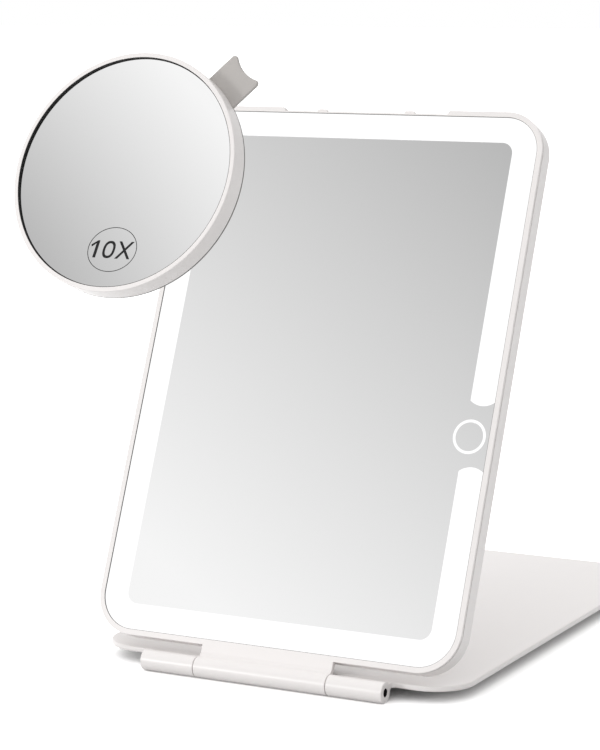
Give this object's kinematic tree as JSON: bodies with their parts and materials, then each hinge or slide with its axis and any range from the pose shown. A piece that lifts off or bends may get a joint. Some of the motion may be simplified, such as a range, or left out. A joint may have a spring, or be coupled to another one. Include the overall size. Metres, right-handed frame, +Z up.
{
  "type": "lighted travel mirror",
  "caption": "Tablet-shaped mirror panel with a lit edge band, hinged to a flat cover that serves as its stand, with a round clip-on magnifier held by magnets.",
  "frame": {"origin": "middle of the footprint of the whole object with its magnifier taken off, on the table", "axes": "+Z up, +X to the right along the hinge as seen from the front, +Y from the mirror's face towards the back of the stand"},
  "size_m": [0.1658, 0.427, 0.2567],
  "materials": {
    "white_shell": "warm white moulded plastic, satin gloss",
    "cover_liner": "soft matt liner sheet",
    "mirror": "silvered mirror with a frosted lit band on the pane",
    "soft_grey": "soft warm grey silicone",
    "dark_seal": "dark elastic seal",
    "clear_guide": "clear light guide",
    "white_inner": "plain white inner plastic and tape",
    "lamp": "lamp body with yellow cover",
    "steel": "plain steel",
    "magnet": "plated magnet",
    "board": "green circuit board",
    "black_part": "black moulded electronics",
    "cell": "foil pouch",
    "lead": "insulated lead",
    "film": "amber flexible film",
    "bush": "plain brass"
  },
  "bodies": {
    "stand": {"stand_shell": "white_shell", "stand_liner": "cover_liner", "closing_keepers": "steel", "hinge_pin": "steel"},
    "magnifier": {"magnifier_ring": "white_shell", "magnifier_back": "white_shell", "magnifier_glass": "mirror", "magnifier_seal": "dark_seal", "magnifier_magnet": "magnet", "magnifier_pad": "soft_grey", "pull_tab": "soft_grey"},
    "mirror_panel": {"front_frame": "white_shell", "rear_housing": "white_shell", "mirror_glass": "mirror", "glass_tape": "white_inner", "light_guide": "clear_guide", "led_strip": "white_inner", "leds": "lamp", "reflector_plate": "white_inner", "touch_sensor": "film", "touch_ribbon": "film", "catch_disc": "steel", "closing_magnets": "magnet", "main_board": "board", "board_chips": "black_part", "board_screws": "steel", "usb_socket_shell": "steel", "usb_socket_core": "black_part", "battery": "cell", "battery_leads": "lead", "friction_bush_left": "bush", "friction_bush_right": "bush"}
  },
  "joints": [
    {"name": "mirror_fold", "type": "hinge", "parent": "stand", "child": "mirror_panel", "pos_m": [0, -0.03151, 0.0043], "axis": [1, 0, 0], "range_deg": [-8, 292.5]},
    {"name": "magnifier_pull", "type": "slide", "parent": "stand", "child": "magnifier", "axis": [0.1655, -0.9508, 0.2618], "range_m": [-0.23207, 0]}
  ]
}
